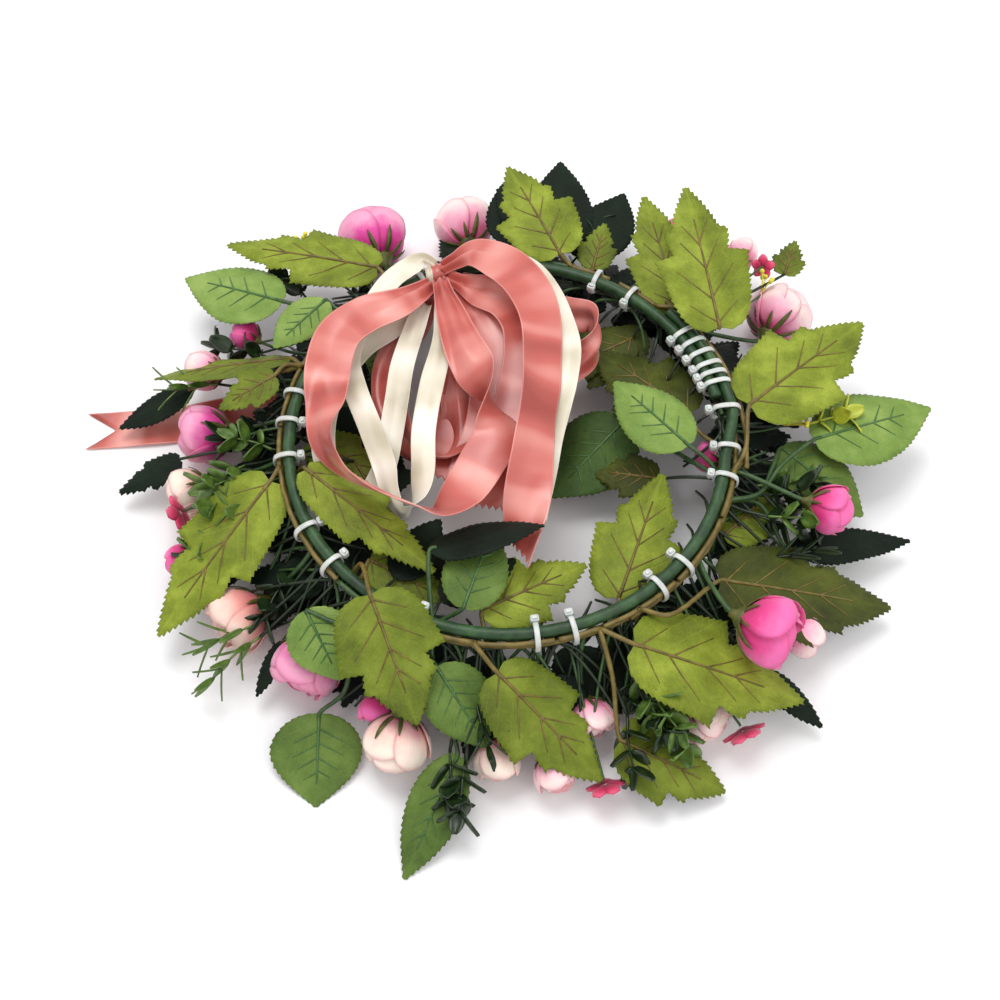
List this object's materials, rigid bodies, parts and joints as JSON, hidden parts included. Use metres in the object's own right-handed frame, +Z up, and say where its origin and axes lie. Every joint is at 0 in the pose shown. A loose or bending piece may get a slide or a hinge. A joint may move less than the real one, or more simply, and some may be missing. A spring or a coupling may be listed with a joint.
{
  "type": "flower crown",
  "caption": "Wire ring wreath for the head with artificial leaves and blossoms tied on by cable ties, and a bunch of satin ribbons that swings at the back.",
  "frame": {"origin": "middle of the crown's bounding box, on the ground it lies on", "axes": "+Z up out of the open back of the ring as the crown lies face down; +X along its widest spread; +Y towards the ribbon knot side"},
  "size_m": [0.3716, 0.3348, 0.0658],
  "materials": {
    "wire": "bright drawn steel",
    "tape": "dark green floral tape with a soft sheen",
    "nylon": "translucent white nylon",
    "maple_leaf": "yellow-olive printed cloth with raised moulded veins",
    "rose_leaf": "mid green printed cloth with raised moulded veins",
    "pink_petal": "hot pink cloth petals fading to cream",
    "peach_petal": "cream and blush cloth petals",
    "coral_satin": "coral pink satin ribbon",
    "cream_satin": "cream satin ribbon"
  },
  "bodies": {
    "crown": {"ring_core_wire": "wire", "ring_tape_wrap": "tape", "cable_tie_347": "nylon", "cable_tie_356": "nylon", "cable_tie_008": "nylon", "cable_tie_016": "nylon", "cable_tie_019": "nylon", "cable_tie_022": "nylon", "cable_tie_026": "nylon", "cable_tie_030": "nylon", "cable_tie_034": "nylon", "cable_tie_053": "nylon", "cable_tie_064": "nylon", "cable_tie_167": "nylon", "cable_tie_176": "nylon", "cable_tie_187": "nylon", "cable_tie_209": "nylon", "cable_tie_221": "nylon", "cable_tie_248": "nylon", "cable_tie_277": "nylon", "cable_tie_286": "nylon", "cable_tie_310": "nylon", "cable_tie_319": "nylon", "leaf_spray_back": "maple_leaf", "leaf_spray_back_right": "maple_leaf", "leaf_spray_right": "maple_leaf", "leaf_spray_outer_right": "rose_leaf", "leaf_spray_inner_right": "rose_leaf", "leaf_spray_front_right": "maple_leaf", "leaf_spray_front": "maple_leaf", "leaf_spray_front_middle": "maple_leaf", "leaf_spray_front_rose": "rose_leaf", "leaf_spray_front_left": "maple_leaf", "leaf_spray_left_rose": "rose_leaf", "leaf_spray_left": "maple_leaf", "leaf_spray_left_back": "maple_leaf", "leaf_spray_back_left_rose": "rose_leaf", "leaf_spray_back_left": "maple_leaf", "blossom_back_left": "pink_petal", "blossom_back": "pink_petal", "blossom_back_right": "peach_petal", "blossom_right": "pink_petal", "blossom_front_right": "pink_petal", "blossom_front": "peach_petal", "blossom_front_left": "peach_petal", "blossom_left_front": "pink_petal", "blossom_left": "peach_petal", "blossom_left_back": "pink_petal", "blossom_left_low": "peach_petal", "blossom_front_low": "peach_petal", "ribbon_low_tail": "coral_satin"},
    "ribbon_bunch": {"ribbon_knot": "coral_satin", "ribbon_coral_left": "coral_satin", "ribbon_coral_tail": "coral_satin", "ribbon_coral_middle": "coral_satin", "ribbon_coral_inner": "coral_satin", "ribbon_coral_small": "coral_satin", "ribbon_cream_left": "cream_satin", "ribbon_cream_outer": "cream_satin", "ribbon_cream_right": "cream_satin"}
  },
  "joints": [
    {"name": "ribbon_swing", "type": "hinge", "parent": "crown", "child": "ribbon_bunch", "pos_m": [-0.0277, 0.091, 0.04], "axis": [-0.9397, -0.342, 0], "range_deg": [0, 90]}
  ]
}
